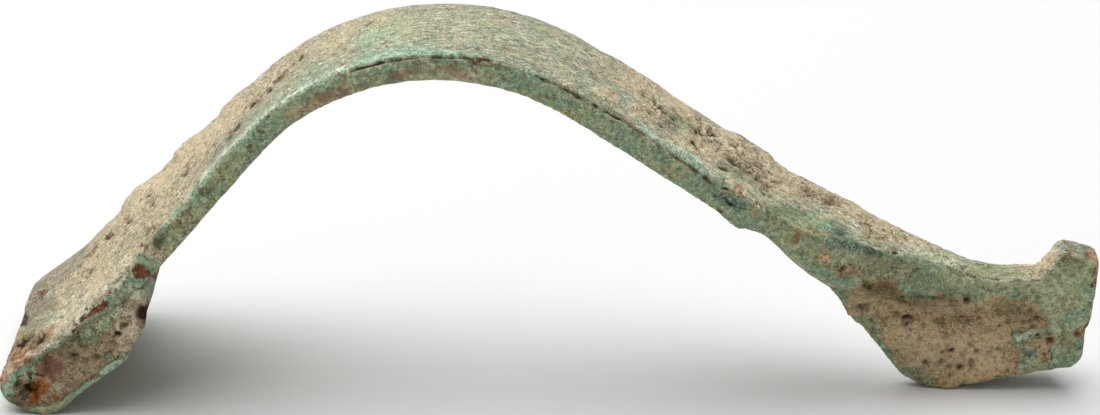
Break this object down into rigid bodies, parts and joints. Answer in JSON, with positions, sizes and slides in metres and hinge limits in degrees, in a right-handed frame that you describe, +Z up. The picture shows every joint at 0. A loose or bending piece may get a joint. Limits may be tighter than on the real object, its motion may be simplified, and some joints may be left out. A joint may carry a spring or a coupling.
{
  "type": "bow fibula",
  "caption": "Bronze strip-bow brooch as dug up: arched flat bow, folded hinge head packed with soil, narrow foot with catchplate; the pin is lost.",
  "frame": {"origin": "on the resting surface, below the middle of the bounding box", "axes": "+X along the brooch from the folded head to the foot, +Y across the bow to the side of the catch lip, +Z up"},
  "size_m": [0.0592, 0.0146, 0.0203],
  "materials": {
    "bronze": "rough green patina with patches of dried soil",
    "rust": "crumbly orange rust",
    "soil": "hard dry sandy soil"
  },
  "bodies": {
    "root": {"fibula_strip": "bronze", "hinge_axis": "rust", "packed_soil": "soil"}
  },
  "joints": []
}
